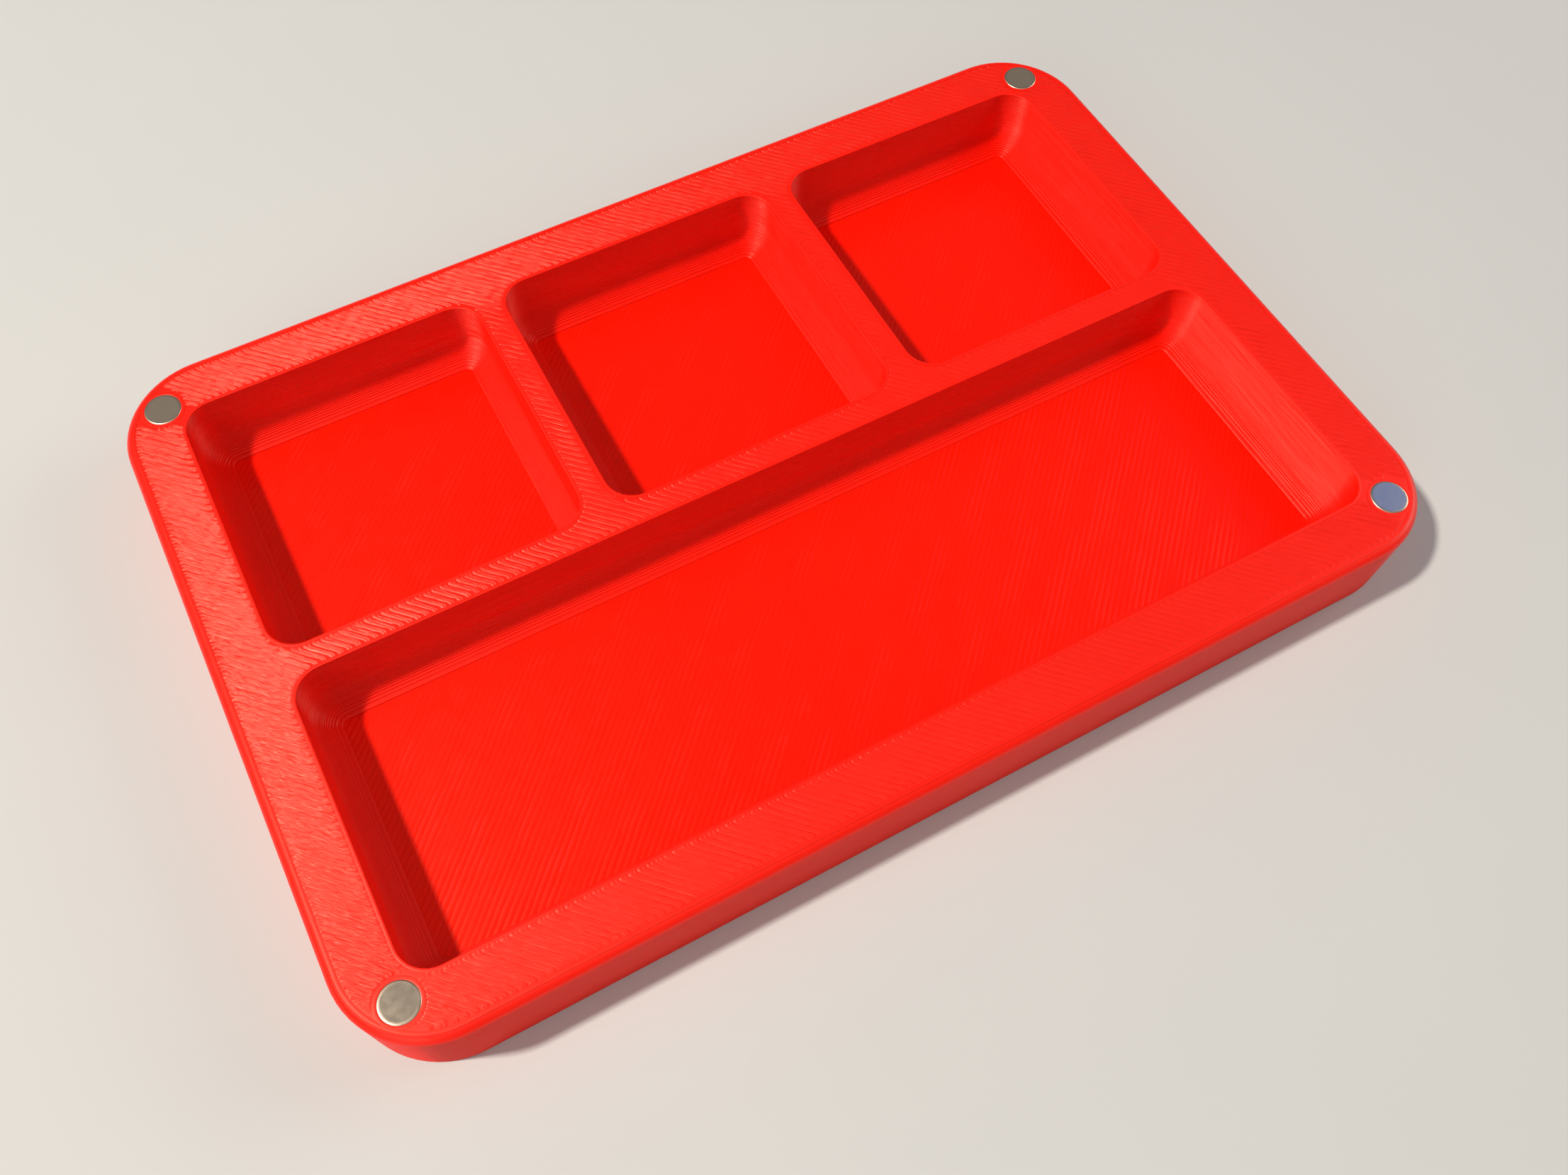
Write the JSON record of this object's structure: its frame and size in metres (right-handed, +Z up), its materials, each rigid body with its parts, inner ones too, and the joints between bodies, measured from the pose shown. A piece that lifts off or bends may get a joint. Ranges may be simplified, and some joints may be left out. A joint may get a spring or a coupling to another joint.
{
  "type": "sorting tray",
  "caption": "Shallow rectangular sorting tray with a row of small compartments behind one long compartment, a flat rim, and disc magnets set flush in the rim's corners.",
  "frame": {"origin": "centre of the tray's underside", "axes": "+X along the length to the right, +Y to the rear, away from the long compartment, +Z up"},
  "size_m": [0.15, 0.1, 0.012],
  "materials": {
    "tray": "satin, as printed",
    "magnet": "nickel plate, lightly scuffed"
  },
  "bodies": {
    "root": {"tray_body": "tray", "magnet_front_left": "magnet", "magnet_front_right": "magnet", "magnet_rear_left": "magnet", "magnet_rear_right": "magnet"}
  },
  "joints": []
}
